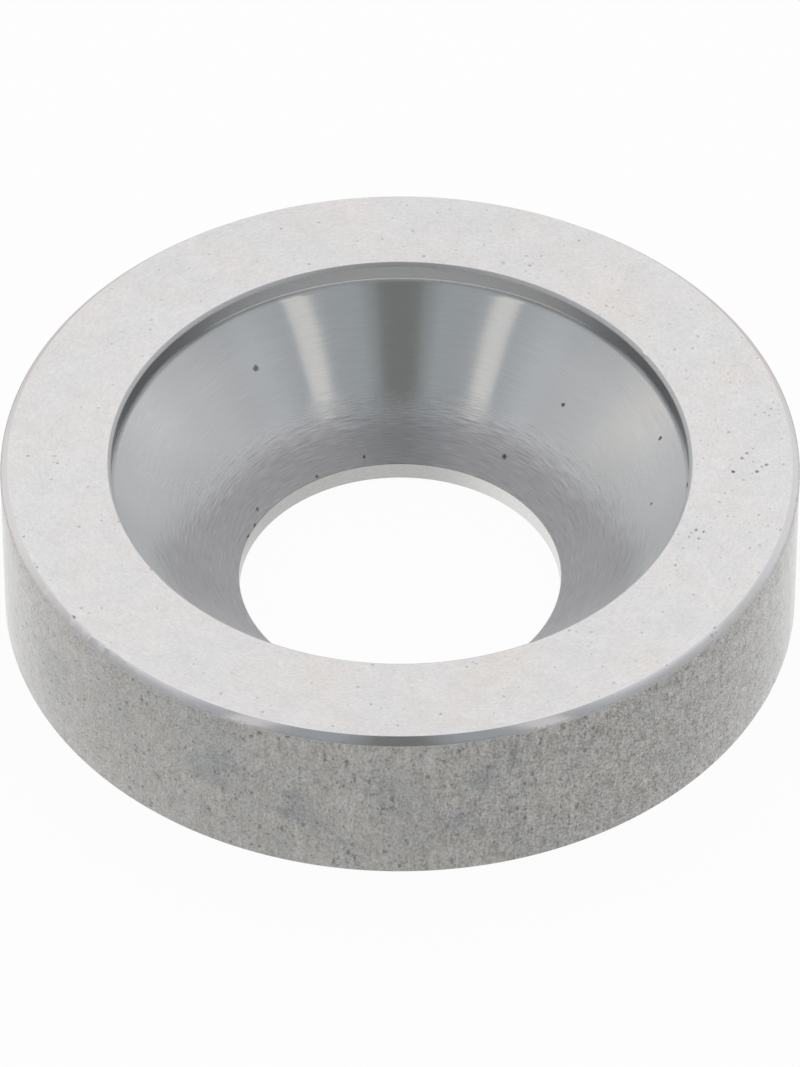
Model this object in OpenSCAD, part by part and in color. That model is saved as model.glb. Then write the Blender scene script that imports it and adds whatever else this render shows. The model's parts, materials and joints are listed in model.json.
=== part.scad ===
// Countersunk washer, turned from round steel bar.
// It spreads the load of one flat-head screw, whose conical head sinks into the seat.
// The origin is the centre of the bottom face, and +Z points out of the countersink.

/* [Blank] */
// Outside diameter, left as the skin of the bar
outer_d = 33.2; // [28:0.2:60]
// Thickness between the bottom face and the top face
thickness = 7.6; // [7:0.1:12]

/* [Screw hole] */
// Diameter of the through bore
bore_d = 13.5; // [12.2:0.1:18]

/* [Countersink] */
// Diameter of the straight recess above the cone
recess_d = 24; // [19:0.1:25]
// Height of the straight recess wall
recess_wall = 0.78; // [0.2:0.02:1.4]
// Included angle of the conical seat
seat_angle = 84.5; // [80:0.5:120]

/* [Edges] */
// Width of the 45 degree chamfer round the top face
rim_chamfer = 0.3; // [0.05:0.01:0.8]
// Width of the 45 degree chamfer at the mouth of the recess
mouth_chamfer = 0.15; // [0.05:0.01:0.5]
// Width of the 45 degree break on both edges of the bottom face
bottom_break = 0.1; // [0.05:0.01:0.3]

/* [Hidden] */
$fn = 180;

// How far a cutting tool runs past the surface that it opens into
overrun = 1;

outer_r = outer_d / 2;
bore_r = bore_d / 2;
recess_r = recess_d / 2;

// Heights of the countersinking tool: where its wall turns into the cone, and the cone's tip
recess_floor_z = thickness - mouth_chamfer - recess_wall;
seat_tip_z = recess_floor_z - recess_r / tan(seat_angle / 2);

// Disc cut from the bar, with its top and bottom edges chamfered
module blank() {
    rotate_extrude()
        polygon([
            [0, 0],
            [outer_r - bottom_break, 0],
            [outer_r, bottom_break],
            [outer_r, thickness - rim_chamfer],
            [outer_r - rim_chamfer, thickness],
            [0, thickness]
        ]);
}

// Through hole for the screw's shank
module bore() {
    translate([0, 0, -overrun])
        cylinder(r = bore_r, h = thickness + 2 * overrun);
}

// Break where the bore opens into the bottom face
module bore_break() {
    translate([0, 0, -overrun])
        cylinder(
            r1 = bore_r + bottom_break + overrun,
            r2 = bore_r - overrun,
            h = bottom_break + 2 * overrun
        );
}

// Countersinking tool: conical seat, straight recess above it and the chamfer at its mouth
module countersink() {
    rotate_extrude()
        polygon([
            [0, seat_tip_z],
            [recess_r, recess_floor_z],
            [recess_r, thickness - mouth_chamfer],
            [recess_r + mouth_chamfer + overrun, thickness + overrun],
            [0, thickness + overrun]
        ]);
}

// The finished washer, one solid
module washer() {
    color("#c9c9ca")
        difference() {
            blank();
            bore();
            bore_break();
            countersink();
        }
}

washer();
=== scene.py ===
"""Looks of the countersunk washer: one ring of turned steel in six finishes, on a white studio floor."""
import json
import math

import bpy
from bpy.props import FloatProperty, FloatVectorProperty, IntProperty, PointerProperty
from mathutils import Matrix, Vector, noise


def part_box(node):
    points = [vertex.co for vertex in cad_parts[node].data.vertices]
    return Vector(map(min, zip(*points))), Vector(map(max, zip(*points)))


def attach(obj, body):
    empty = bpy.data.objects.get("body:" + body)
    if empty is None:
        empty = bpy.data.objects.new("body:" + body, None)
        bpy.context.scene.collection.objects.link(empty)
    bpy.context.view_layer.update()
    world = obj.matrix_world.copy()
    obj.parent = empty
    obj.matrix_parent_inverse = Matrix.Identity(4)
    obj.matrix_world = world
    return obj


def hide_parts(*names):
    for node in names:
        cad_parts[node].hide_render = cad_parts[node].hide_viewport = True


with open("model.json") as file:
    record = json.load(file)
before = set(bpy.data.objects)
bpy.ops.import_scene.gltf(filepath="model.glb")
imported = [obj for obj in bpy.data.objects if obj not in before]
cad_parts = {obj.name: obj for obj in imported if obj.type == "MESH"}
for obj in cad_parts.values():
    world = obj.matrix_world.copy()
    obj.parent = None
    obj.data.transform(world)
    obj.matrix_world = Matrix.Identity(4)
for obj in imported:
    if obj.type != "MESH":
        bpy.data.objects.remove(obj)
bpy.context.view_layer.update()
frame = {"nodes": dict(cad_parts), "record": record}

bl_info = {
    "name": "Countersunk Washer",
    "version": (1, 0, 0),
    "blender": (4, 5, 0),
    "location": "3D View > Sidebar > Washer",
    "description": "Turns a countersunk steel washer, finishes its surfaces and sets a studio round it",
    "category": "Add Mesh",
}

MM = 0.001
NODE = "washer"

# Points closer than this are one point
SAME = 0.001 * MM


# Sizes read from the frame
def mount(name):
    """The record's mount of that name."""
    return next(m for m in frame["record"]["mounts"] if m["name"] == name)


def wall_span(name):
    """Lowest and highest point of a round mount's wall on the Z axis."""
    middle = mount(name)["pos_m"][2]
    half = mount(name)["dims"]["length_mm"] * MM / 2
    return middle - half, middle + half


def face_radii(height):
    """Smallest and largest radius of the solid's corners at that height."""
    corners = frame["nodes"][NODE].data.vertices
    near = [v.co.xy.length for v in corners if abs(v.co.z - height) < SAME]
    return min(near), max(near)


LOW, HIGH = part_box(NODE)
OUTER_R = HIGH.x
BORE_R = mount("bore")["dims"]["r_mm"] * MM
RECESS_R = mount("head_recess")["dims"]["r_mm"] * MM
SEAT_LOW = wall_span("bore")[1]
SEAT_HIGH = wall_span("head_recess")[0]
SEAT_RISE = SEAT_HIGH - SEAT_LOW
BOTTOM_INNER_R, BOTTOM_OUTER_R = face_radii(LOW.z)
TOP_INNER_R, TOP_OUTER_R = face_radii(HIGH.z)
RIM_LOW = HIGH.z - (OUTER_R - TOP_OUTER_R)
MOUTH_LOW = HIGH.z - (TOP_INNER_R - RECESS_R)


def round_axis(azimuth, radius, height):
    """Point at an azimuth from the front, in degrees, a distance from the axis and a height."""
    turn = math.radians(azimuth)
    return Vector((math.sin(turn) * radius, -math.cos(turn) * radius, height))


def seat_radius(height):
    """Radius of the conical seat at that height."""
    return BORE_R + (height - SEAT_LOW) / SEAT_RISE * (RECESS_R - BORE_R)


def to_linear(hex_colour):
    """Turns an sRGB hex colour into the linear values that shaders take."""
    parts = [int(hex_colour[i:i + 2], 16) / 255 for i in (1, 3, 5)]
    return [p / 12.92 if p <= 0.04045 else ((p + 0.055) / 1.055) ** 2.4 for p in parts]


def colour_setting(hex_colour, name, description):
    """A colour that a user would change."""
    return FloatVectorProperty(
        name=name,
        description=description,
        default=to_linear(hex_colour),
        subtype="COLOR",
    )


# Settings that a user would change
class WasherSizes(bpy.types.PropertyGroup):
    """Fineness of the ring's mesh, and sizes of the marks that rolling and turning left on it"""

    segments: IntProperty(
        name="Segments",
        description="Steps round the ring",
        default=1080,
        min=64,
    )
    edge_round: FloatProperty(
        name="Edge round",
        description="Width of the rounding that takes the sharpness off every turned edge",
        default=0.03 * MM,
        unit="LENGTH",
    )
    seat_fillet: FloatProperty(
        name="Seat fillet",
        description="Width of the fillet that the tool's nose left between the seat and the recess",
        default=0.22 * MM,
        unit="LENGTH",
    )
    edge_wander: FloatProperty(
        name="Edge wander",
        description="How far the chamfers' edges stray from a true circle",
        default=0.03 * MM,
        unit="LENGTH",
    )
    pit_spacing: FloatProperty(
        name="Pit spacing",
        description="Mean distance between the wider pits in the skin of the bar",
        default=0.3 * MM,
        unit="LENGTH",
    )
    pit_width: FloatProperty(
        name="Pit width",
        description="Width of the widest pits in the skin of the bar",
        default=0.24 * MM,
        unit="LENGTH",
    )
    grain: FloatProperty(
        name="Skin grain",
        description="Width of the coarsest grain of the bar's skin",
        default=0.1 * MM,
        unit="LENGTH",
    )
    faced_lay: FloatProperty(
        name="Faced lay",
        description="Width of the streaks that the facing tool left on the flat faces",
        default=0.09 * MM,
        unit="LENGTH",
    )
    feed: FloatProperty(
        name="Feed",
        description="Distance between the marks that the tool left on the seat",
        default=0.11 * MM,
        unit="LENGTH",
    )
    wall_lay: FloatProperty(
        name="Wall lay",
        description="Width of the tool's marks on the straight walls",
        default=0.1 * MM,
        unit="LENGTH",
    )
    mouth_lay: FloatProperty(
        name="Mouth lay",
        description="Width of the tool's marks on the chamfer at the mouth of the recess",
        default=0.05 * MM,
        unit="LENGTH",
    )
    edge_lay: FloatProperty(
        name="Edge lay",
        description="Width of the tool's marks on the chamfers of the outside",
        default=0.08 * MM,
        unit="LENGTH",
    )


class WasherFinish(bpy.types.PropertyGroup):
    """Colours of the steel's finishes"""

    skin: colour_setting("#999690", "Bar skin", "Dull skin of the bar on the outside")
    skin_dark: colour_setting("#7b7e7f", "Bar skin, dark patches", "Patches where the skin is thicker")
    skin_cool: colour_setting("#959492", "Bar skin, cool flecks", "Flecks of the skin with a bluish tint")
    pit: colour_setting("#4c4b4a", "Pits", "Bottom of the pits and chips")
    faced: colour_setting("#e7e4e2", "Faced steel", "Flat top and bottom")
    faced_cool: colour_setting(
        "#e5e4e5",
        "Faced steel, cool patches",
        "Patches of the flat faces with a cooler tint",
    )
    seat: colour_setting("#dadcdd", "Turned seat", "Conical seat of the screw's head")
    seat_torn: colour_setting(
        "#c7c7ca",
        "Torn seat",
        "Lower part of the seat, where the tool tore the steel",
    )
    wall: colour_setting("#adadad", "Recess wall", "Straight wall of the recess")
    land: colour_setting("#b5b5b4", "Bore land", "Straight wall of the bore")
    mouth: colour_setting("#c6c7c9", "Mouth edge", "Chamfer at the mouth of the recess")
    bright: colour_setting("#dadadc", "Bright edges", "Chamfer and edge break on the outside")
    bright_grazing: colour_setting(
        "#e1d7d4",
        "Bright edges, grazing",
        "Tint of what the outer chamfers reflect at a grazing angle",
    )


class WasherStudio(bpy.types.PropertyGroup):
    """Light and camera of the studio"""

    tent_level: FloatProperty(
        name="Tent level",
        description="Brightness of the white tent round the washer",
        default=1.25,
        min=0,
    )
    strip_level: FloatProperty(
        name="Strip level",
        description="Brightness of the two strip lights",
        default=0.355,
        min=0,
    )
    strip_colour: colour_setting("#fff1e7", "Strip colour", "Warm tint of the two strip lights")
    strip_width: FloatProperty(
        name="Strip width",
        description="Width of each strip light",
        default=85 * MM,
        unit="LENGTH",
    )
    strip_length: FloatProperty(
        name="Strip length",
        description="Length of each strip light",
        default=500 * MM,
        unit="LENGTH",
    )
    strip_distance: FloatProperty(
        name="Strip distance",
        description="Distance from the washer to each strip light",
        default=600 * MM,
        unit="LENGTH",
    )
    strip_elevation: FloatProperty(
        name="Strip elevation",
        description="Height of the strip lights above the floor, seen from the washer",
        default=math.radians(37),
        subtype="ANGLE",
    )
    camera_lens: FloatProperty(
        name="Lens",
        description="Focal length of the camera in mm",
        default=321.6,
    )
    camera_distance: FloatProperty(
        name="Camera distance",
        description="Distance from the washer to the camera",
        default=24.15 * OUTER_R,
        unit="LENGTH",
    )
    camera_elevation: FloatProperty(
        name="Camera elevation",
        description="Height of the camera above the floor, seen from the washer",
        default=math.radians(44.15),
        subtype="ANGLE",
    )


# Sockets of a node that mixes colours: its two colours and its result
FIRST, SECOND, MIXED = 6, 7, 2

# Values of a noise: its mean, the range that it seldom leaves, and a narrower one that gives crisper patches
MEAN = 0.5
NOISE_LOW, NOISE_HIGH = 0.3, 0.7
CRISP_LOW, CRISP_HIGH = 0.35, 0.65


def add(tree, kind, sockets=None, **settings):
    """Adds one node and its settings. A socket takes a value, another socket or a node's first output."""
    node = tree.nodes.new(kind)
    for name, value in settings.items():
        setattr(node, name, value)
    for socket, value in (sockets or {}).items():
        source = value.outputs[0] if isinstance(value, bpy.types.Node) else value
        if isinstance(source, bpy.types.NodeSocket):
            tree.links.new(source, node.inputs[socket])
        else:
            node.inputs[socket].default_value = source
    return node


def new_material(name):
    """A bare metal material: returns it, its tree, its shader and the object's own coordinates."""
    material = bpy.data.materials.new(name)
    material.use_nodes = True
    tree = material.node_tree
    shader = tree.nodes["Principled BSDF"]
    shader.inputs["Metallic"].default_value = 1
    place = add(tree, "ShaderNodeTexCoord").outputs["Object"]
    return material, tree, shader, place


def turned(tree, shader, stretch):
    """Lays the shader's grooves round the axis, so that light is smeared across them by that much."""
    quarter_turn = 0.25
    around = add(tree, "ShaderNodeTangent", direction_type="RADIAL", axis="Z")
    tree.links.new(around.outputs[0], shader.inputs["Tangent"])
    shader.inputs["Anisotropic"].default_value = stretch
    shader.inputs["Anisotropic Rotation"].default_value = quarter_turn


def from_axis(tree, place):
    """The part of a place that is square to the axis, and its length."""
    flat = add(tree, "ShaderNodeVectorMath", {0: place, 1: (1, 1, 0)}, operation="MULTIPLY")
    radius = add(tree, "ShaderNodeVectorMath", {0: flat}, operation="LENGTH")
    return flat, radius.outputs["Value"]


def lay(tree, place, length, width):
    """Coordinates that run round the lathe: noise on them is drawn out to that length and width."""
    rise_share = 0.6
    slope = (0, 0, rise_share / width)
    turns = RECESS_R / length
    flat, radius = from_axis(tree, place)
    around = add(tree, "ShaderNodeVectorMath", {0: flat}, operation="NORMALIZE")
    rise = add(tree, "ShaderNodeVectorMath", {0: place, 1: slope}, operation="DOT_PRODUCT").outputs["Value"]
    across = add(tree, "ShaderNodeMath", {0: radius, 1: 1 / width, 2: rise}, operation="MULTIPLY_ADD")
    lifted = add(tree, "ShaderNodeCombineXYZ", {"Z": across})
    return add(tree, "ShaderNodeVectorMath", {0: around, 1: (turns, turns, 0), 2: lifted},
               operation="MULTIPLY_ADD")


def pushed(tree, place, size, reach):
    """Coordinates pushed about by noise of that size, so that round marks turn ragged."""
    push = add(tree, "ShaderNodeTexNoise", {"Vector": place, "Scale": 1 / size, "Detail": 1})
    centred = add(tree, "ShaderNodeVectorMath", {0: push.outputs["Color"], 1: (MEAN,) * 3},
                  operation="SUBTRACT")
    return add(tree, "ShaderNodeVectorMath", {0: centred, 1: (2 * reach,) * 3, 2: place},
               operation="MULTIPLY_ADD")


def spots(tree, place, marks):
    """Mask of single marks. Each is a point, a width and a depth, and fades towards its border."""
    core, border = 0.2, 0.6
    mask = 0.0
    for point, width, depth in marks:
        away = add(tree, "ShaderNodeVectorMath", {0: place, 1: point}, operation="DISTANCE")
        mark = add(tree, "ShaderNodeMapRange",
                   {"Value": away.outputs["Value"], "From Min": core * width, "From Max": border * width,
                    "To Min": depth, "To Max": 0}, interpolation_type="SMOOTHSTEP")
        mask = add(tree, "ShaderNodeMath", {0: mark, 1: mask}, operation="MAXIMUM")
    return mask


def pits(tree, place, spacing, width, fewest):
    """Mask of scattered pits. Only cells luckier than fewest, a value or a link, hold one."""
    smallest, bottom = 0.4, 0.5
    widest = width / spacing / 2
    cells = add(tree, "ShaderNodeTexVoronoi", {"Vector": place, "Scale": 1 / spacing})
    luck = add(tree, "ShaderNodeSeparateColor", {0: cells.outputs["Color"]})
    held = add(tree, "ShaderNodeMath", {0: luck, 1: fewest}, operation="GREATER_THAN")
    reach = add(tree, "ShaderNodeMapRange",
                {"Value": luck, "From Min": fewest, "To Min": smallest * widest, "To Max": widest})
    core = add(tree, "ShaderNodeMath", {0: reach, 1: bottom}, operation="MULTIPLY")
    return add(tree, "ShaderNodeMapRange",
               {"Value": cells.outputs["Distance"], "From Min": core, "From Max": reach,
                "To Min": held, "To Max": 0})


def marked(tree, colour, mask, finish):
    """A colour that turns into the dark bottom of the pits where the mask says."""
    return add(tree, "ShaderNodeMix", {0: mask, FIRST: colour, SECOND: (*finish.pit, 1)},
               data_type="RGBA").outputs[MIXED]


def chipped(tree, place, chips):
    """Mask of ragged chips: each is a point, a width and a depth of tone."""
    rag, rag_reach = 0.12 * MM, 0.06 * MM
    return spots(tree, pushed(tree, place, rag, rag_reach), chips)


# Smudges on the skin: azimuth from the front in degrees, height and width in mm, depth of tone from 0 to 1
SMUDGES = [
    (-14.6, 3.2, 2.6, 0.75),
    (11.2, 5.2, 2.4, 0.75),
    (7.7, 2.9, 2.0, 0.75),
    (-27.0, 4.4, 2.8, 0.75),
    (16.0, 5.9, 1.8, 0.75),
    (-60.0, 3.8, 3.0, 0.55),
    (-44.0, 4.6, 2.2, 0.4),
]

# Roughness of the bar's skin, which also lies in bits on the outer chamfers
SKIN_ROUGH = 0.44


def skin_colour(tree, place, fade, fleck, finish):
    """Colour of the skin: cool flecks, and dark patches and smudges."""
    patch_size, patch_start = 2.6 * MM, 0.4
    cloud, cloud_reach = 1.6 * MM, 1.3 * MM
    curl, curl_reach = 0.25 * MM, 0.7 * MM
    blotch = add(tree, "ShaderNodeTexNoise", {"Vector": place, "Scale": 1 / patch_size, "Detail": 3})
    patch = add(tree, "ShaderNodeMapRange",
                {"Value": blotch, "From Min": patch_start, "From Max": NOISE_HIGH})
    thin = add(tree, "ShaderNodeMath", {0: patch, 1: fade}, operation="MULTIPLY")
    cloudy = pushed(tree, pushed(tree, place, cloud, cloud_reach), curl, curl_reach)
    marks = [(round_axis(turn, OUTER_R, z * MM), width * MM, depth) for turn, z, width, depth in SMUDGES]
    dark = add(tree, "ShaderNodeMath", {0: spots(tree, cloudy, marks), 1: thin}, operation="MAXIMUM")
    cool = add(tree, "ShaderNodeMapRange", {"Value": fleck, "From Min": CRISP_LOW, "From Max": CRISP_HIGH})
    flecked = add(tree, "ShaderNodeMix",
                  {0: cool, FIRST: (*finish.skin, 1), SECOND: (*finish.skin_cool, 1)}, data_type="RGBA")
    return add(tree, "ShaderNodeMix",
               {0: dark, FIRST: flecked.outputs[MIXED], SECOND: (*finish.skin_dark, 1)},
               data_type="RGBA").outputs[MIXED]


def skin_tone(tree, place, grain, fleck, fade):
    """Swing of the skin's tone: its grain, with flecks and with streaks along the bar."""
    streak_width, streak_squeeze = 0.2 * MM, 0.15
    streak_share, fleck_share = 0.5, 0.3
    drawn = add(tree, "ShaderNodeVectorMath", {0: place, 1: (1, 1, streak_squeeze)}, operation="MULTIPLY")
    streak = add(tree, "ShaderNodeTexNoise", {"Vector": drawn, "Scale": 1 / streak_width, "Detail": 1})
    drift = add(tree, "ShaderNodeMath", {0: streak, 1: MEAN}, operation="SUBTRACT")
    faded = add(tree, "ShaderNodeMath", {0: drift, 1: fade}, operation="MULTIPLY")
    both = add(tree, "ShaderNodeMath", {0: faded, 1: streak_share, 2: grain}, operation="MULTIPLY_ADD")
    mottled = add(tree, "ShaderNodeMath", {0: fleck, 1: fleck_share, 2: both}, operation="MULTIPLY_ADD")
    return add(tree, "ShaderNodeMath", {0: mottled, 1: MEAN + fleck_share * MEAN}, operation="SUBTRACT")


def skin_pits(tree, place, rolled, right, sizes):
    """Mask of the skin's pits, wide and small, which gather in herds and are thicker on the right."""
    rag, rag_reach = 0.08 * MM, 0.12 * MM
    herd_size = 1.3 * MM
    sparsest, thickest, more_right = 0.8, 0.4, 0.12
    ragged = pushed(tree, rolled, rag, rag_reach)
    herd = add(tree, "ShaderNodeTexNoise", {"Vector": place, "Scale": 1 / herd_size, "Detail": 2})
    sparse = add(tree, "ShaderNodeMapRange",
                 {"Value": herd, "From Min": CRISP_LOW, "From Max": CRISP_HIGH,
                  "To Min": sparsest, "To Max": thickest})
    fewest = add(tree, "ShaderNodeMath", {0: right, 1: -more_right, 2: sparse}, operation="MULTIPLY_ADD")
    wide = pits(tree, ragged, sizes.pit_spacing, sizes.pit_width, fewest)
    small = pits(tree, ragged, sizes.pit_spacing / 2, sizes.pit_width / 2, fewest)
    return add(tree, "ShaderNodeMath", {0: wide, 1: small}, operation="MAXIMUM")


def bar_skin(sizes, finish):
    """Rolled bar skin under a film of oil: dull grey, peppered with pits, with a gloss towards its limbs."""
    material, tree, shader, place = new_material("rolled_steel_bar_skin")
    fleck_size = 0.45 * MM
    fleck = add(tree, "ShaderNodeTexNoise", {"Vector": place, "Scale": 1 / fleck_size, "Detail": 2})

    # The limbs are the far left and right. Patches and streaks fade towards them
    across = add(tree, "ShaderNodeSeparateXYZ", {0: place}).outputs["X"]
    right = add(tree, "ShaderNodeMapRange",
                {"Value": across, "From Min": -OUTER_R, "From Max": OUTER_R, "To Min": -1})
    limb = add(tree, "ShaderNodeMath", {0: right, 1: right}, operation="MULTIPLY")
    weight = 0.5
    fade = add(tree, "ShaderNodeMath", {0: limb, 1: -weight, 2: weight}, operation="MULTIPLY_ADD")

    # Rolling drew the grain out along the bar, less so towards the limbs
    squeeze, limb_squeeze = 0.6, 0.6
    squat = add(tree, "ShaderNodeMath", {0: limb, 1: limb_squeeze, 2: squeeze}, operation="MULTIPLY_ADD")
    stretch = add(tree, "ShaderNodeCombineXYZ", {"X": 1, "Y": 1, "Z": squat})
    rolled = add(tree, "ShaderNodeVectorMath", {0: place, 1: stretch}, operation="MULTIPLY")
    grain = add(tree, "ShaderNodeTexNoise",
                {"Vector": rolled, "Scale": 1 / sizes.grain, "Detail": 3, "Roughness": 0.75})

    # The skin is coarser on the right, and its tone runs from lighter on the left to darker on the right
    strength, right_strength, limb_strength = 2.15, 0.85, 1.75
    coarse = add(tree, "ShaderNodeMath", {0: right, 1: right_strength, 2: strength}, operation="MULTIPLY_ADD")
    coarser = add(tree, "ShaderNodeMath", {0: limb, 1: limb_strength, 2: coarse}, operation="MULTIPLY_ADD")
    left_level, right_level = 1.15, 0.96
    level = add(tree, "ShaderNodeMapRange",
                {"Value": across, "From Min": -0.8 * OUTER_R, "From Max": 0.3 * OUTER_R,
                 "To Min": left_level, "To Max": right_level}, interpolation_type="SMOOTHSTEP")
    swing = skin_tone(tree, place, grain, fleck, fade)
    tone = add(tree, "ShaderNodeMath", {0: swing, 1: coarser, 2: level}, operation="MULTIPLY_ADD")
    base = skin_colour(tree, place, fade, fleck, finish)
    grained = add(tree, "ShaderNodeVectorMath", {0: base, "Scale": tone}, operation="SCALE")

    pit_tone, pit_depth, relief = 0.8, 1.5, 0.008 * MM
    pit = skin_pits(tree, place, rolled, right, sizes)
    depth = add(tree, "ShaderNodeMath", {0: pit, 1: pit_tone}, operation="MULTIPLY")
    tree.links.new(marked(tree, grained, depth, finish), shader.inputs["Base Color"])
    height = add(tree, "ShaderNodeMath", {0: pit, 1: -pit_depth, 2: grain}, operation="MULTIPLY_ADD")
    bump = add(tree, "ShaderNodeBump", {"Height": height, "Distance": relief, "Strength": 1})
    tree.links.new(bump.outputs[0], shader.inputs["Normal"])
    tree.links.new(bump.outputs[0], shader.inputs["Coat Normal"])
    shader.inputs["Roughness"].default_value = SKIN_ROUGH
    shader.inputs["Coat Weight"].default_value = 1
    shader.inputs["Coat Roughness"].default_value = 0.1
    shader.inputs["Coat IOR"].default_value = 1.7
    return material


# Chips in the top face, and near the rim dark specks that are painted shade of nicks in its edge: place seen
# from above and width in mm, and depth of tone from 0 to 1
TOP_CHIPS_AND_EDGE_SHADES = [
    (13.8, -0.8, 0.2, 0.9),
    (14.2, 0.0, 0.2, 0.6),
    (14.4, 0.3, 0.17, 0.5),
    (14.8, -0.8, 0.2, 0.75),
    (14.6, -0.9, 0.12, 0.5),
    (15.2, -0.4, 0.19, 0.65),
    (15.0, -0.5, 0.16, 0.45),
    (15.5, 3.0, 0.14, 0.4),
    (15.2, 2.8, 0.13, 0.35),
    (15.4, 2.6, 0.12, 0.35),
    (15.6, 3.4, 0.12, 0.35),
    (12.2, -4.3, 0.17, 0.6),
    (12.5, -4.4, 0.14, 0.75),
    (12.3, -4.8, 0.15, 0.5),
    (11.9, -4.7, 0.17, 0.35),
    (12.0, -4.5, 0.16, 0.35),
    (11.3, -6.4, 0.18, 0.5),
    (15.7, -4.3, 0.2, 0.45),
    (4.4, 12.1, 0.16, 0.3),
    (5.5, 11.9, 0.2, 0.35),
    (6.0, 12.5, 0.15, 0.3),
    (1.0, 12.5, 0.22, 0.35),
    (-14.2, -0.3, 0.14, 0.6),
    (-12.9, -1.7, 0.13, 0.4),
    (-13.0, -8.9, 0.2, 0.25),
    (-12.7, -9.2, 0.15, 0.3),
    (-15.9, -3.6, 0.17, 0.3),
    (-15.5, -4.7, 0.17, 0.45),
    (-14.9, -6.5, 0.16, 0.45),
    (-10.2, -6.6, 0.16, 0.6),
]


def faced_pits(tree, place):
    """Mask of the faint pits that facing left: stray ones in herds, and specks that thicken to the right."""
    rag, rag_reach = 0.12 * MM, 0.06 * MM
    herd_size, herd_start, herd_full = 4 * MM, 0.4, 0.6
    stray_spacing, stray_width, stray_sparsest, stray_thickest = 0.55 * MM, 0.2 * MM, 0.9, 0.2
    speck_spacing, speck_width, speck_sparsest, speck_thickest = 0.3 * MM, 0.15 * MM, 0.95, 0.4
    faintness = 0.33
    ragged = pushed(tree, place, rag, rag_reach)
    herd = add(tree, "ShaderNodeTexNoise", {"Vector": place, "Scale": 1 / herd_size, "Detail": 1})
    fewest = add(tree, "ShaderNodeMapRange",
                 {"Value": herd, "From Min": herd_start, "From Max": herd_full,
                  "To Min": stray_sparsest, "To Max": stray_thickest})
    stray = pits(tree, ragged, stray_spacing, stray_width, fewest)
    across = add(tree, "ShaderNodeSeparateXYZ", {0: place}).outputs["X"]
    rare = add(tree, "ShaderNodeMapRange",
               {"Value": across, "From Max": OUTER_R, "To Min": speck_sparsest, "To Max": speck_thickest})
    speck = pits(tree, ragged, speck_spacing, speck_width, rare)
    pocked = add(tree, "ShaderNodeMath", {0: stray, 1: speck}, operation="MAXIMUM")
    return add(tree, "ShaderNodeMath", {0: pocked, 1: faintness}, operation="MULTIPLY")


def faced_steel(sizes, finish):
    """Faced on the lathe and rubbed flat: near white and satin, with a faint broken lay and stray pits."""
    material, tree, shader, place = new_material("faced_steel")
    streak_length = 1.4 * MM
    speckle_size, cloud_size, tint_size = 0.14 * MM, 0.9 * MM, 3.5 * MM
    speckle_share, cloud_share, contrast = 0.6, 0.35, 0.14

    # The lay of such a face is too fine to show from here, so it is drawn as wide as it needs to show
    around = lay(tree, place, streak_length, sizes.faced_lay)
    streak = add(tree, "ShaderNodeTexNoise", {"Vector": around, "Detail": 2})
    speckle = add(tree, "ShaderNodeTexNoise", {"Vector": place, "Scale": 1 / speckle_size, "Detail": 1})
    both = add(tree, "ShaderNodeMath", {0: speckle, 1: speckle_share, 2: streak}, operation="MULTIPLY_ADD")
    cloud = add(tree, "ShaderNodeTexNoise", {"Vector": place, "Scale": 1 / cloud_size, "Detail": 2})
    clouded = add(tree, "ShaderNodeMath", {0: cloud, 1: cloud_share, 2: both}, operation="MULTIPLY_ADD")
    middle, reach = MEAN * (1 + speckle_share + cloud_share), 0.4
    tone = add(tree, "ShaderNodeMapRange",
               {"Value": clouded, "From Min": middle - reach, "From Max": middle + reach,
                "To Min": 1 - contrast, "To Max": 1 + contrast})
    tint = add(tree, "ShaderNodeTexNoise", {"Vector": place, "Scale": 1 / tint_size, "Detail": 2})
    cool = add(tree, "ShaderNodeMapRange", {"Value": tint, "From Min": CRISP_LOW, "From Max": CRISP_HIGH})
    base = add(tree, "ShaderNodeMix",
               {0: cool, FIRST: (*finish.faced, 1), SECOND: (*finish.faced_cool, 1)}, data_type="RGBA")
    toned = add(tree, "ShaderNodeVectorMath", {0: base.outputs[MIXED], "Scale": tone}, operation="SCALE")

    # Real chips, and near the rim painted shade of the edge's nicks
    chip = chipped(tree, place, [(Vector((x * MM, y * MM, HIGH.z)), w * MM, d) for x, y, w, d in TOP_CHIPS_AND_EDGE_SHADES])
    mark = add(tree, "ShaderNodeMath", {0: faced_pits(tree, place), 1: chip}, operation="MAXIMUM")
    tree.links.new(marked(tree, toned, mark, finish), shader.inputs["Base Color"])
    smoothest, roughest, relief = 0.3, 0.4, 0.001 * MM
    rough = add(tree, "ShaderNodeMapRange",
                {"Value": streak, "From Min": NOISE_LOW, "From Max": NOISE_HIGH,
                 "To Min": smoothest, "To Max": roughest})
    tree.links.new(rough.outputs[0], shader.inputs["Roughness"])
    turned(tree, shader, stretch=0.3)
    bump = add(tree, "ShaderNodeBump", {"Height": both, "Distance": relief, "Strength": 1})
    tree.links.new(bump.outputs[0], shader.inputs["Normal"])
    return material


# How far the torn zone reaches up the seat at the front and at the back, as a share of its height
TORN_FRONT, TORN_BACK = 1.0, 0.32

# Chips in the seat: azimuth from the front in degrees, height and width in mm, depth of tone from 0 to 1
SEAT_CHIPS = [
    (-144.0, 4.9, 0.3, 0.75),
    (144.5, 1.85, 0.26, 0.9),
    (-167.5, 1.2, 0.17, 0.8),
    (-149.0, 1.0, 0.17, 0.8),
    (105.5, 5.9, 0.22, 0.9),
    (135.0, 4.2, 0.2, 0.9),
    (90.0, 5.0, 0.17, 0.9),
    (-115.5, 0.9, 0.28, 0.85),
    (-109.5, 0.9, 0.28, 0.85),
    (-121.0, 1.2, 0.18, 0.7),
    (87.0, 6.7, 0.38, 1.0),
]


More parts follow.
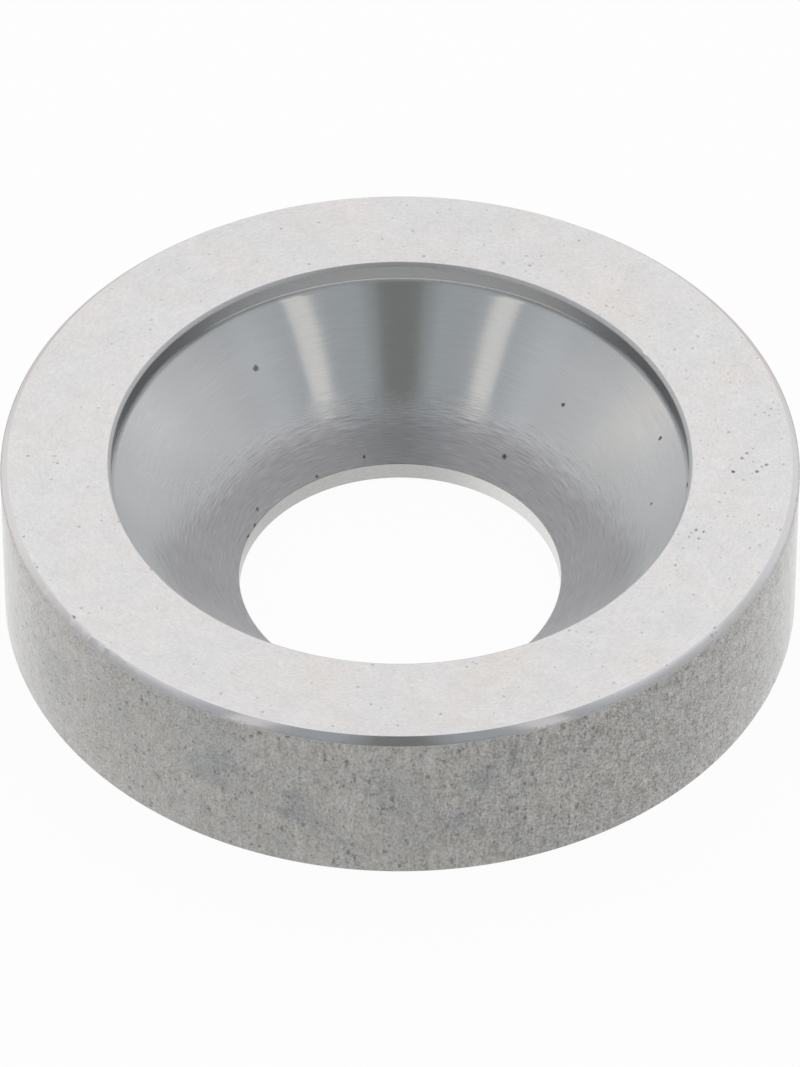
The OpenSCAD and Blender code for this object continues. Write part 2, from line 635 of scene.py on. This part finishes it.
def torn_zone(tree, apart, swing):
    """Mask of the torn zone. It reaches up the seat at the front, and the tool's marks fray its border."""
    fringe, fade_above, fade_below = 2.5 * MM, 0.7 * MM, 0.9 * MM
    climb = add(tree, "ShaderNodeMapRange",
                {"Value": apart.outputs["Y"], "From Min": -0.8 * RECESS_R, "From Max": 0.4 * RECESS_R,
                 "To Min": TORN_FRONT * SEAT_RISE, "To Max": TORN_BACK * SEAT_RISE},
                interpolation_type="SMOOTHSTEP")
    above = add(tree, "ShaderNodeMath", {0: apart.outputs["Z"], 1: climb}, operation="SUBTRACT")
    edge = add(tree, "ShaderNodeMath", {0: swing, 1: fringe, 2: above}, operation="MULTIPLY_ADD")
    return add(tree, "ShaderNodeMapRange",
               {"Value": edge, "From Min": SEAT_LOW + fade_above, "From Max": SEAT_LOW - fade_below},
               interpolation_type="SMOOTHSTEP")


def turned_seat(sizes, finish):
    """Turned with a fine feed: a bright cone that smears light along its slope, torn and dull low down."""
    material, tree, shader, place = new_material("turned_steel_seat")
    mark_length = 6 * MM
    apart = add(tree, "ShaderNodeSeparateXYZ", {0: place})
    around = lay(tree, place, mark_length, sizes.feed)
    mark = add(tree, "ShaderNodeTexNoise", {"Vector": around, "Detail": 2})
    swing = add(tree, "ShaderNodeMath", {0: mark, 1: MEAN}, operation="SUBTRACT")
    low = torn_zone(tree, apart, swing)

    # The front of the seat is duller than its back, with a streaky passage between them, and its darker tone
    # there is painted shade
    streak_reach = 6 * MM
    front_rough, back_rough, torn_rough = 0.42, 0.15, 0.5
    passage = add(tree, "ShaderNodeMath", {0: swing, 1: streak_reach, 2: apart.outputs["Y"]},
                  operation="MULTIPLY_ADD")
    dull = add(tree, "ShaderNodeMapRange",
               {"Value": passage, "From Min": -0.2 * RECESS_R, "From Max": 0.5 * RECESS_R,
                "To Min": front_rough, "To Max": back_rough}, interpolation_type="SMOOTHSTEP")
    rough = add(tree, "ShaderNodeMapRange", {"Value": low, "To Min": dull, "To Max": torn_rough})
    tree.links.new(rough.outputs[0], shader.inputs["Roughness"])
    # Painted shade: the seat's colour darkens towards its front
    painted_front_shade = 0.86
    painted_shade = add(tree, "ShaderNodeMapRange",
                {"Value": apart.outputs["Y"], "From Min": -0.28 * RECESS_R, "From Max": 0.04 * RECESS_R,
                 "To Min": painted_front_shade}, interpolation_type="SMOOTHSTEP")

    base = add(tree, "ShaderNodeMix",
               {0: low, FIRST: (*finish.seat, 1), SECOND: (*finish.seat_torn, 1)}, data_type="RGBA")
    contrast, torn_contrast = 0.2, 0.9
    faint = add(tree, "ShaderNodeMapRange", {"Value": low, "To Min": contrast, "To Max": torn_contrast})
    tone = add(tree, "ShaderNodeMath", {0: swing, 1: faint, 2: painted_shade}, operation="MULTIPLY_ADD")
    toned = add(tree, "ShaderNodeVectorMath", {0: base.outputs[MIXED], "Scale": tone}, operation="SCALE")
    chips = [(turn, z * MM, w * MM, d) for turn, z, w, d in SEAT_CHIPS]
    chip = chipped(tree, place, [(round_axis(turn, seat_radius(z), z), w, d) for turn, z, w, d in chips])
    tree.links.new(marked(tree, toned, chip, finish), shader.inputs["Base Color"])
    relief = 0.0045 * MM
    deep = add(tree, "ShaderNodeMath", {0: mark, 1: low}, operation="MULTIPLY")
    bump = add(tree, "ShaderNodeBump", {"Height": deep, "Distance": relief, "Strength": 1})
    tree.links.new(bump.outputs[0], shader.inputs["Normal"])
    turned(tree, shader, stretch=1.0)
    return material


def turned_wall(sizes, finish):
    """Straight walls that the tool's corner cut: duller than the seat, with a faint lay."""
    material, tree, shader, place = new_material("turned_steel_wall")
    mark_length, contrast = 2 * MM, 0.06
    land_rough, wall_rough = 0.24, 0.38
    apart = add(tree, "ShaderNodeSeparateXYZ", {0: place})
    upper = add(tree, "ShaderNodeMapRange",
                {"Value": apart.outputs["Z"], "From Min": SEAT_LOW, "From Max": SEAT_HIGH})

    # The land of the bore is painted brighter on the right, a painted reflection of the lighter floor it
    # faces there
    painted_land_brightest = 1.6
    painted_land_light = add(tree, "ShaderNodeMapRange",
                 {"Value": apart.outputs["X"], "From Min": 0.1 * BORE_R, "From Max": 0.8 * BORE_R,
                  "To Min": 1, "To Max": painted_land_brightest}, interpolation_type="SMOOTHSTEP")
    land = add(tree, "ShaderNodeVectorMath", {0: finish.land, "Scale": painted_land_light}, operation="SCALE")
    base = add(tree, "ShaderNodeMix", {0: upper, FIRST: land, SECOND: (*finish.wall, 1)}, data_type="RGBA")
    around = lay(tree, place, mark_length, sizes.wall_lay)
    mark = add(tree, "ShaderNodeTexNoise", {"Vector": around, "Detail": 1})
    tone = add(tree, "ShaderNodeMapRange",
               {"Value": mark, "From Min": NOISE_LOW, "From Max": NOISE_HIGH,
                "To Min": 1 - contrast, "To Max": 1 + contrast})
    toned = add(tree, "ShaderNodeVectorMath", {0: base.outputs[MIXED], "Scale": tone}, operation="SCALE")
    tree.links.new(toned.outputs[0], shader.inputs["Base Color"])
    rough = add(tree, "ShaderNodeMapRange", {"Value": upper, "To Min": land_rough, "To Max": wall_rough})
    tree.links.new(rough.outputs[0], shader.inputs["Roughness"])
    turned(tree, shader, stretch=0.6)
    return material


def rubbed_mouth(sizes, finish):
    """Narrow chamfer at the recess's mouth, rubbed by the facing tool: grey and dull, with a broken lay."""
    material, tree, shader, place = new_material("rubbed_steel_mouth")
    mark_length, contrast = 1.2 * MM, 0.15
    around = lay(tree, place, mark_length, sizes.mouth_lay)
    mark = add(tree, "ShaderNodeTexNoise", {"Vector": around, "Detail": 2})
    tone = add(tree, "ShaderNodeMapRange",
               {"Value": mark, "From Min": NOISE_LOW, "From Max": NOISE_HIGH,
                "To Min": 1 - contrast, "To Max": 1 + contrast})
    toned = add(tree, "ShaderNodeVectorMath", {0: finish.mouth, "Scale": tone}, operation="SCALE")
    tree.links.new(toned.outputs[0], shader.inputs["Base Color"])
    shader.inputs["Roughness"].default_value = 0.5
    turned(tree, shader, stretch=0.5)
    return material


# Dark marks on the rim's upper edge and its chamfer, painted shade of the small nicks there: point and width
# in mm, and depth of tone from 0 to 1
RIM_NICK_SHADES = [
    (12.8, -10.0, 7.6, 0.2, 0.6),
    (12.7, -10.4, 7.5, 0.18, 0.3),
    (12.9, -10.2, 7.5, 0.18, 0.3),
    (10.8, -12.2, 7.6, 0.14, 0.5),
    (-13.3, -9.4, 7.6, 0.2, 0.7),
    (-13.2, -9.4, 7.6, 0.16, 0.5),
]


def bright_edge(sizes, finish):
    """Chamfers cut with a sharp tool: the brightest finish, with clear reflections and a frayed border."""
    material, tree, shader, place = new_material("bright_turned_edge")
    mark_length = 3 * MM
    smoothest, roughest = 0.12, 0.2
    around = lay(tree, place, mark_length, sizes.edge_lay)
    mark = add(tree, "ShaderNodeTexNoise", {"Vector": around, "Detail": 1})
    smooth = add(tree, "ShaderNodeMapRange",
                 {"Value": mark, "From Min": NOISE_LOW, "From Max": NOISE_HIGH,
                  "To Min": smoothest, "To Max": roughest})

    # The skin of the bar reaches over the outer border in ragged bits
    rag, rag_reach, fray_width, fray_weight = 0.15 * MM, 0.2 * MM, 0.12 * MM, 0.5
    radius = from_axis(tree, place)[1]
    ragged = add(tree, "ShaderNodeTexNoise", {"Vector": place, "Scale": 1 / rag, "Detail": 2})
    reach = add(tree, "ShaderNodeMath", {0: ragged, 1: rag_reach, 2: radius}, operation="MULTIPLY_ADD")
    fray = add(tree, "ShaderNodeMapRange",
               {"Value": reach, "From Min": OUTER_R, "From Max": OUTER_R + fray_width, "To Max": fray_weight},
               interpolation_type="SMOOTHSTEP")
    rough = add(tree, "ShaderNodeMix", {0: fray, 2: smooth, 3: SKIN_ROUGH})
    tree.links.new(rough.outputs[0], shader.inputs["Roughness"])
    frayed = add(tree, "ShaderNodeMix",
                 {0: fray, FIRST: (*finish.bright, 1), SECOND: (*finish.skin, 1)}, data_type="RGBA")
    # Painted shade of the rim's nicks, darkening its edge in spots
    chip = chipped(tree, place, [(Vector((x, y, z)) * MM, w * MM, d) for x, y, z, w, d in RIM_NICK_SHADES])
    tree.links.new(marked(tree, frayed.outputs[MIXED], chip, finish), shader.inputs["Base Color"])
    shader.inputs["Specular Tint"].default_value = (*finish.bright_grazing, 1)
    turned(tree, shader, stretch=0.95)
    return material


# Corners of the ring's section as (radius, height), once round from the bore's lower edge
SECTION = [
    (BOTTOM_INNER_R, LOW.z),
    (BOTTOM_OUTER_R, LOW.z),
    (OUTER_R, OUTER_R - BOTTOM_OUTER_R),
    (OUTER_R, RIM_LOW),
    (TOP_OUTER_R, HIGH.z),
    (TOP_INNER_R, HIGH.z),
    (RECESS_R, MOUTH_LOW),
    (RECESS_R, SEAT_HIGH),
    (BORE_R, SEAT_LOW),
    (BORE_R, BOTTOM_INNER_R - BORE_R),
]
SEAT_CORNER = Vector((RECESS_R, 0, SEAT_HIGH))

FINISHES = (bar_skin, faced_steel, turned_seat, turned_wall, rubbed_mouth, bright_edge)

# Z of a face's normal: most for a wall, most for the rounded edge of a wall, and least for a flat face
WALL_TILT, EDGE_TILT, FLAT_TILT = 0.1, 0.25, 0.97
# Width of the bore's upper edge, which is finished as the bore is
BORE_EDGE = 0.05 * MM


def finish_of(face):
    """The finish of one face, told by the way it faces and by how far out it lies."""
    radius = face.center.xy.length
    tilt = abs(face.normal.z)
    if tilt < WALL_TILT:
        return bar_skin if radius > TOP_INNER_R else turned_wall
    if tilt > FLAT_TILT:
        return faced_steel
    if BORE_R + BORE_EDGE < radius < RECESS_R and face.center.z > SEAT_LOW:
        return turned_seat
    if radius < TOP_INNER_R:
        return rubbed_mouth if face.center.z > SEAT_HIGH else turned_wall
    return bar_skin if tilt < EDGE_TILT else bright_edge


def pick(ring, kind, test):
    """Selects only the vertices or edges that pass the test, and stays in edit mode."""
    bpy.ops.mesh.select_mode(type=kind)
    bpy.ops.mesh.select_all(action="DESELECT")
    bpy.ops.object.mode_set(mode="OBJECT")
    for element in ring.data.vertices if kind == "VERT" else ring.data.edges:
        element.select = test(element)
    bpy.ops.object.mode_set(mode="EDIT")


def edge_length(ring, edge):
    """Length of one edge of the ring's mesh."""
    first, last = (ring.data.vertices[i].co for i in edge.vertices)
    return (first - last).length


def draw_section(ring, sizes):
    """Draws the section in edit mode, rounds its corners and cuts its long stretches into shorter ones."""
    fillet_steps, round_steps = 5, 3
    longest, cuts = 2 * MM, 4
    points = [Vector((r, 0, z)) for r, z in SECTION]
    sharp = [p for p in points if p != SEAT_CORNER]
    bpy.ops.mesh.merge(type="CENTER")
    bpy.ops.transform.translate(value=points[0])
    for here, there in zip(points, points[1:] + points[:1]):
        bpy.ops.mesh.extrude_vertices_move(TRANSFORM_OT_translate={"value": there - here})
    bpy.ops.mesh.select_all(action="SELECT")
    bpy.ops.mesh.remove_doubles(threshold=SAME)
    pick(ring, "VERT", lambda vertex: (vertex.co - SEAT_CORNER).length < SAME)
    bpy.ops.mesh.bevel(offset=sizes.seat_fillet, segments=fillet_steps, affect="VERTICES")
    pick(ring, "VERT", lambda vertex: any((vertex.co - p).length < SAME for p in sharp))
    bpy.ops.mesh.bevel(offset=sizes.edge_round, segments=round_steps, affect="VERTICES")
    pick(ring, "EDGE", lambda edge: edge_length(ring, edge) > longest)
    bpy.ops.mesh.subdivide(number_cuts=cuts)


def spin_section(ring, sizes):
    """Spins the section once round the axis, closes the seam and points the faces outwards."""
    bpy.ops.object.modifier_add(type="SCREW")
    turn = ring.modifiers[-1]
    turn.steps = turn.render_steps = sizes.segments
    turn.use_merge_vertices = True
    turn.merge_threshold = SAME / 2
    bpy.ops.object.modifier_apply(modifier=turn.name)
    bpy.ops.object.mode_set(mode="EDIT")
    bpy.ops.mesh.select_all(action="SELECT")
    bpy.ops.mesh.normals_make_consistent(inside=False)
    bpy.ops.object.mode_set(mode="OBJECT")


# Nicks in the edges: azimuth from the front in degrees, width and depth in mm
RIM_NICKS = [
    (-62.0, 0.1, 0.04),
    (-54.8, 0.1, 0.06),
    (-51.5, 0.1, 0.04),
    (51.8, 0.08, 0.05),
]
MOUTH_NICKS = [
    (122.0, 0.14, 0.07),
]
# Burrs on the rim: azimuths of the root and the tip in degrees, and how far the tip stands out in mm
RIM_BURRS = [
    (-48.4, -50.0, 0.1),
    (-45.7, -47.2, 0.1),
    (-42.6, -43.6, 0.06),
]
# Middle and spread in degrees of the stretch where the edges are most torn
TORN_AT, TORN_SPREAD = -52, 10
# Share of that wander which an edge has all round
CALM = 0.06


def nick_edge(ring, radius, height, wander, nicks, burrs):
    """Moves one edge of the top face in and out, at random a little and further at its nicks and burrs."""
    edge_width = 0.05 * MM
    long_wave, short_wave = 0.9 * MM, 0.3 * MM
    for vertex in ring.data.vertices:
        here = vertex.co.copy()
        if Vector((here.xy.length - radius, here.z - height)).length > edge_width:
            continue
        turn = math.degrees(math.atan2(here.x, -here.y))
        torn = CALM + math.exp(-((turn - TORN_AT) / TORN_SPREAD) ** 2)
        shift = wander * torn * (noise.noise(here / long_wave) + noise.noise(here / short_wave))
        for azimuth, width, depth in nicks:
            gap = (here - round_axis(azimuth, radius, height)).xy.length
            shift -= depth * MM * math.exp(-(gap / (width * MM)) ** 2)
        for root, tip, reach in burrs:
            if tip <= turn <= root:
                shift += reach * MM * (root - turn) / (root - tip)
        vertex.co.xy = here.xy * (1 + shift / radius)


def shade_ring(ring):
    """Shades the ring smooth between its sharp edges, with the wide faces leading the normals."""
    sharpest = math.radians(40)
    bpy.ops.object.shade_smooth_by_angle(angle=sharpest)
    bpy.ops.object.modifier_add(type="WEIGHTED_NORMAL")
    ring.modifiers[-1].keep_sharp = True
    bpy.ops.object.modifier_apply(modifier=ring.modifiers[-1].name)


class WASHER_OT_ring(bpy.types.Operator):
    """Turn the ring: draw its section, round the corners, spin it and give each surface its finish"""

    bl_idname = "washer.turn_ring"
    bl_label = "Turn the ring"

    def execute(self, context):
        sizes = context.scene.washer_sizes
        bpy.ops.object.select_all(action="DESELECT")
        bpy.ops.mesh.primitive_plane_add(size=MM, location=(0, 0, 0))
        ring = context.object
        ring.name = ring.data.name = "washer_ring"
        bpy.ops.object.mode_set(mode="EDIT")
        draw_section(ring, sizes)
        bpy.ops.object.mode_set(mode="OBJECT")
        spin_section(ring, sizes)
        for make in FINISHES:
            ring.data.materials.append(make(sizes, context.scene.washer_finish))
        for face in ring.data.polygons:
            face.material_index = FINISHES.index(finish_of(face))
        nick_edge(ring, TOP_OUTER_R, HIGH.z, sizes.edge_wander, RIM_NICKS, RIM_BURRS)
        nick_edge(ring, TOP_INNER_R, HIGH.z, sizes.edge_wander / 2, MOUTH_NICKS, [])
        shade_ring(ring)
        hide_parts(NODE)
        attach(ring, "root")
        return {"FINISHED"}


# Panels of the white tent: degrees to either side of the camera, then colours low left, low right and high
TENT = [
    (4, "#737573", "#737573", "#737573"),
    (8, "#777977", "#777977", "#777977"),
    (10, "#868989", "#868989", "#868989"),
    (13, "#8d9091", "#8d9091", "#8d9091"),
    (17, "#999da0", "#999da0", "#999da0"),
    (30, "#9b9ea0", "#9b9ea0", "#9b9ea0"),
    (50, "#a1a4a6", "#a1a4a6", "#a1a4a6"),
    (62, "#acaeb0", "#a8aaac", "#c6c7c8"),
    (72, "#a6a8aa", "#a3a5a7", "#e1dee0"),
    (80, "#abacad", "#a9aaab", "#e5e2e4"),
    (90, "#b2b3b4", "#b3b4b4", "#e9e6e8"),
    (97, "#bebdbc", "#b8b8b8", "#e6e4e6"),
    (105, "#cdcac7", "#c3c3c3", "#e6e4e6"),
    (118, "#e5e1de", "#dcdadb", "#e5e3e5"),
    (140, "#e3e2e2", "#e1e0e0", "#e8e8e8"),
    (180, "#e7e7e7", "#e7e7e7", "#dbdbdb"),
]
# White of the floor's card, and of the sweep of card under the tent
CARD, SWEEP = "#f9f9f9", "#e7e7e7"

# Names of the strip lights, and their degrees from the camera's side
STRIPS = [
    ("strip_left", -42.3),
    ("strip_right", 40.8),
]

# Height of the picture in pixels, and how far below its middle the washer's origin lies
PICTURE_HEIGHT, ORIGIN_BELOW = 1067, 56.2


def white_card():
    """White card: plain white to the eye and in reflections, but for the share that keeps the shadow."""
    plain_share = 0.95
    material = bpy.data.materials.new("white_card")
    material.use_nodes = True
    tree = material.node_tree
    tree.nodes.clear()
    path = add(tree, "ShaderNodeLightPath").outputs
    direct = add(tree, "ShaderNodeMath", {0: path["Is Camera Ray"], 1: path["Is Glossy Ray"]},
                 operation="MAXIMUM")
    seen = add(tree, "ShaderNodeMath", {0: direct, 1: path["Is Transmission Ray"]}, operation="MAXIMUM")
    share = add(tree, "ShaderNodeMath", {0: seen, 1: plain_share}, operation="MULTIPLY")
    card = add(tree, "ShaderNodeBsdfDiffuse", {"Color": (*to_linear(CARD), 1)})
    plain = add(tree, "ShaderNodeEmission", {"Color": (1, 1, 1, 1), "Strength": 1})
    both = add(tree, "ShaderNodeMixShader", {0: share, 1: card, 2: plain})
    add(tree, "ShaderNodeOutputMaterial", {0: both})
    return material


def lay_floor(context):
    """A wide floor of white card, a hair below the washer."""
    width, gap = 4, 0.02 * MM
    bpy.ops.object.select_all(action="DESELECT")
    bpy.ops.mesh.primitive_plane_add(size=width, location=(0, 0, -gap))
    floor = context.object
    floor.name = "floor"
    floor.data.materials.append(white_card())


def tent_row(tree, turn, left, right):
    """One row of the tent: its colours, one column of the table for each side, run into each other."""
    panels = [(-panel[0], panel[left]) for panel in reversed(TENT)]
    panels += [(panel[0], panel[right]) for panel in TENT]
    places = [degrees / 360 + 0.5 for degrees, _ in panels]
    ramp = add(tree, "ShaderNodeValToRGB", {0: turn})
    stops = ramp.color_ramp.elements
    for place in places[1:-1]:
        stops.new(place)
    for stop, place, (_, colour) in zip(stops, places, panels):
        stop.position = place
        stop.color = (*to_linear(colour), 1)
    return ramp


def hang_tent(scene, studio):
    """The white tent: two rows of panels, of which the upper one hangs lower at the back."""
    lean, seam_low, seam_high, sweep_top = 0.35, 0.45, 0.57, 0.05
    world = bpy.data.worlds.new("studio")
    world.use_nodes = True
    tree = world.node_tree
    tree.nodes.clear()
    way = add(tree, "ShaderNodeTexCoord").outputs["Generated"]
    apart = add(tree, "ShaderNodeSeparateXYZ", {0: way}).outputs
    ahead = add(tree, "ShaderNodeMath", {0: apart["Y"], 1: -1}, operation="MULTIPLY")
    azimuth = add(tree, "ShaderNodeMath", {0: apart["X"], 1: ahead}, operation="ARCTAN2")
    turn = add(tree, "ShaderNodeMapRange", {"Value": azimuth, "From Min": -math.pi, "From Max": math.pi})
    leant = add(tree, "ShaderNodeMath", {0: apart["Y"], 1: lean, 2: apart["Z"]}, operation="MULTIPLY_ADD")
    lift = add(tree, "ShaderNodeMapRange", {"Value": leant, "From Min": seam_low, "From Max": seam_high},
               interpolation_type="SMOOTHSTEP")
    low_row = tent_row(tree, turn, left=1, right=2)
    high_row = tent_row(tree, turn, left=3, right=3)
    tent = add(tree, "ShaderNodeMix", {0: lift, FIRST: low_row, SECOND: high_row}, data_type="RGBA")
    rise = add(tree, "ShaderNodeMapRange", {"Value": apart["Z"], "From Max": sweep_top},
               interpolation_type="SMOOTHSTEP")
    sweep = add(tree, "ShaderNodeMix",
                {0: rise, FIRST: (*to_linear(SWEEP), 1), SECOND: tent.outputs[MIXED]}, data_type="RGBA")
    sky = add(tree, "ShaderNodeBackground", {"Color": sweep.outputs[MIXED], "Strength": studio.tent_level})
    add(tree, "ShaderNodeOutputWorld", {0: sky})
    scene.world = world


def towards(azimuth, elevation):
    """Direction from the washer at an azimuth from the front, in degrees, and an elevation in radians."""
    return round_axis(azimuth, math.cos(elevation), math.sin(elevation))


def set_strips(scene, studio):
    """A warm strip light on each side of the camera, which draws the two bright bars on the seat."""
    for name, azimuth in STRIPS:
        light = bpy.data.lights.new(name, "AREA")
        light.shape = "RECTANGLE"
        light.size = studio.strip_width
        light.size_y = studio.strip_length
        light.energy = studio.strip_level * math.pi * light.size * light.size_y
        light.color = studio.strip_colour
        lamp = bpy.data.objects.new(name, light)
        way = towards(azimuth, studio.strip_elevation)
        lamp.location = way * studio.strip_distance
        lamp.rotation_mode = "QUATERNION"
        lamp.rotation_quaternion = way.to_track_quat("Z", "Y")
        lamp.visible_camera = False
        scene.collection.objects.link(lamp)


def set_camera(scene, studio):
    """A long lens that looks down on the washer from the front."""
    lens = bpy.data.cameras.new("camera")
    lens.lens = studio.camera_lens
    camera = bpy.data.objects.new("camera", lens)
    camera.location = towards(0, studio.camera_elevation) * studio.camera_distance
    pixels_ahead = PICTURE_HEIGHT * lens.lens / lens.sensor_width
    tip = math.atan(ORIGIN_BELOW / pixels_ahead)
    camera.rotation_euler = (math.pi / 2 - studio.camera_elevation + tip, 0, 0)
    scene.collection.objects.link(camera)
    scene.camera = camera


class WASHER_OT_stage(bpy.types.Operator):
    """Set the pale floor, the studio light and the camera"""

    bl_idname = "washer.set_stage"
    bl_label = "Set the stage"

    def execute(self, context):
        studio = context.scene.washer_studio
        lay_floor(context)
        hang_tent(context.scene, studio)
        set_strips(context.scene, studio)
        set_camera(context.scene, studio)
        context.scene.view_settings.view_transform = "Standard"
        return {"FINISHED"}


# The scene's groups of settings, by name
GROUPS = {
    "washer_sizes": WasherSizes,
    "washer_finish": WasherFinish,
    "washer_studio": WasherStudio,
}


class WASHER_PT_panel(bpy.types.Panel):
    """Lists the steps and settings"""

    bl_idname = "WASHER_PT_panel"
    bl_label = "Countersunk Washer"
    bl_space_type = "VIEW_3D"
    bl_region_type = "UI"
    bl_category = "Washer"

    def draw(self, context):
        self.layout.operator(WASHER_OT_ring.bl_idname)
        self.layout.operator(WASHER_OT_stage.bl_idname)
        for name, group in GROUPS.items():
            for setting in group.__annotations__:
                self.layout.prop(getattr(context.scene, name), setting)


CLASSES = (*GROUPS.values(), WASHER_OT_ring, WASHER_OT_stage, WASHER_PT_panel)


def register():
    for cls in CLASSES:
        bpy.utils.register_class(cls)
    for name, group in GROUPS.items():
        setattr(bpy.types.Scene, name, PointerProperty(type=group))


def unregister():
    for name in GROUPS:
        delattr(bpy.types.Scene, name)
    for cls in reversed(CLASSES):
        bpy.utils.unregister_class(cls)


def main():
    """Makes the washer and its stage."""
    register()
    bpy.ops.washer.turn_ring()
    bpy.ops.washer.set_stage()


if __name__ == "__main__":
    main()
